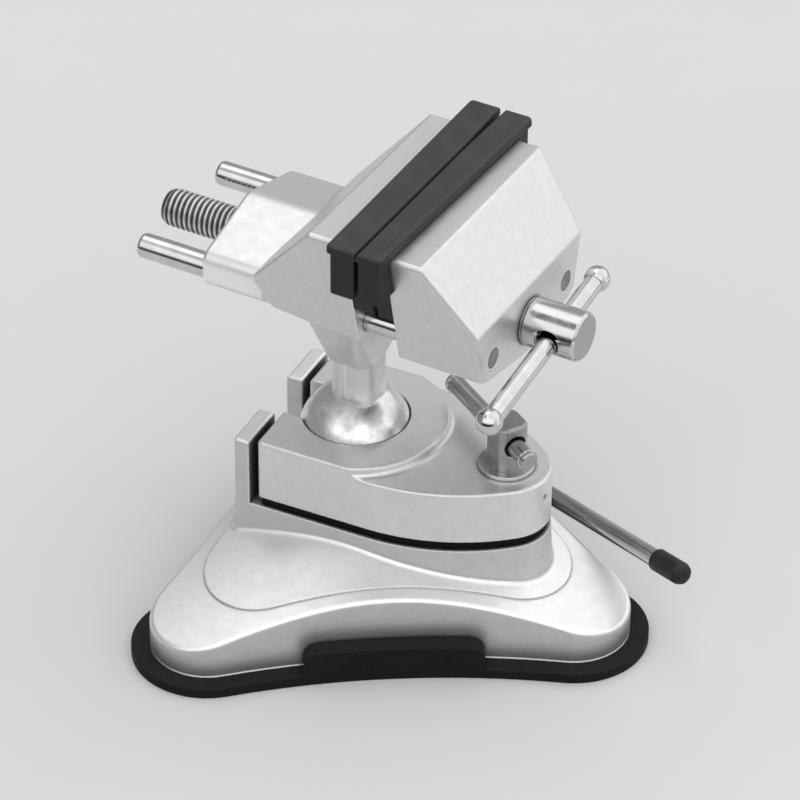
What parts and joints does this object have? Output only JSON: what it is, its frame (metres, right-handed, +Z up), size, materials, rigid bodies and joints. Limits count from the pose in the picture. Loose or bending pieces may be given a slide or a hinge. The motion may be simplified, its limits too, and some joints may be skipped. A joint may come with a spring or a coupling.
{
  "type": "suction base vise",
  "caption": "Small bench vise on a clamped ball joint, with rubber-covered jaws, a hand-turned lead screw and a lever-locked three-lobed suction foot.",
  "frame": {"origin": "middle of the suction pad's lobes, on the plane that the vise stands on", "axes": "+X towards the clamp screw and the screw's head, +Z up out of the bench, +Y to the side that the suction lever is on"},
  "size_m": [0.1455, 0.1332, 0.1288],
  "materials": {
    "cast_aluminium": "satin die-cast aluminium",
    "black_rubber": "matt black rubber",
    "gasket_rubber": "matt black sheet",
    "chromed_steel": "polished chrome",
    "bright_steel": "bright plated steel",
    "satin_steel": "satin steel",
    "spring_steel": "spring steel",
    "bearing_bronze": "sintered bronze",
    "nylon": "white nylon"
  },
  "bodies": {
    "base": {"base_casting": "cast_aluminium", "suction_pad": "black_rubber", "clamp_gasket": "gasket_rubber", "shaft_bush": "bearing_bronze"},
    "swivel_seat": {"ball_seat": "nylon"},
    "head": {"fixed_jaw_body": "cast_aluminium", "fixed_jaw_cover": "black_rubber", "screw_nut": "bearing_bronze"},
    "sliding_jaw": {"movable_jaw": "cast_aluminium", "movable_jaw_cover": "black_rubber", "guide_rod_left": "chromed_steel", "guide_rod_right": "chromed_steel", "thrust_washer": "spring_steel"},
    "screw": {"lead_screw": "bright_steel", "retaining_ring": "spring_steel"},
    "tommy": {"tommy_bar": "chromed_steel", "tommy_knobs": "chromed_steel"},
    "plate": {"clamp_plate": "cast_aluminium", "clamp_washer": "satin_steel"},
    "clamp": {"clamp_screw": "satin_steel"},
    "t_bar": {"clamp_bar": "satin_steel", "clamp_bar_rings": "spring_steel"},
    "lever": {"cam_shaft": "satin_steel", "lever_arm": "chromed_steel", "lever_grip": "black_rubber", "shaft_clip": "spring_steel"},
    "stud": {"lift_stud": "nylon"}
  },
  "joints": [
    {"name": "ball_swivel", "type": "hinge", "parent": "base", "child": "swivel_seat", "pos_m": [-0.00785, 0, 0.0445], "axis": [0, 0, 1], "continuous": true},
    {"name": "ball_tilt", "type": "hinge", "parent": "swivel_seat", "child": "head", "pos_m": [-0.00785, 0, 0.0445], "axis": [0.0558, 0.9984, 0], "range_deg": [-25, 25]},
    {"name": "jaw_slide", "type": "slide", "parent": "head", "child": "sliding_jaw", "axis": [0.9984, -0.0558, 0], "range_m": [0, 0.045]},
    {"name": "lead_screw_turn", "type": "hinge", "parent": "sliding_jaw", "child": "screw", "pos_m": [0.01297, -0.00116, 0.0964], "axis": [0.9984, -0.0558, 0], "range_deg": [0, 10800]},
    {"name": "tommy_slide", "type": "slide", "parent": "screw", "child": "tommy", "axis": [0.0553, 0.9887, 0.1392], "range_m": [-0.0111, 0.0259]},
    {"name": "plate_lift", "type": "slide", "parent": "base", "child": "plate", "axis": [0, 0, 1], "range_m": [0, 0.00041666]},
    {"name": "clamp_turn", "type": "hinge", "parent": "plate", "child": "clamp", "pos_m": [0.03455, 0, 0.056], "axis": [0, 0, 1], "range_deg": [0, 120]},
    {"name": "t_bar_slide", "type": "slide", "parent": "clamp", "child": "t_bar", "axis": [0.8131, -0.5821, 0], "range_m": [-0.0053, 0.022]},
    {"name": "suction_lever", "type": "hinge", "parent": "base", "child": "lever", "pos_m": [0, 0, 0.0122], "axis": [-0.5, -0.866, 0], "range_deg": [0, 160]},
    {"name": "pad_lift", "type": "slide", "parent": "base", "child": "stud", "axis": [0, 0, -1], "range_m": [0, 0.0029], "deforming": ["suction_pad"]}
  ],
  "couplings": [
    {"joint": "lead_screw_turn", "follows": "jaw_slide", "rad_per_m": 4188.8},
    {"joint": "clamp_turn", "follows": "plate_lift", "rad_per_m": 5026.5},
    {"joint": "suction_lever", "follows": "pad_lift", "rad_per_m": 962.94}
  ]
}
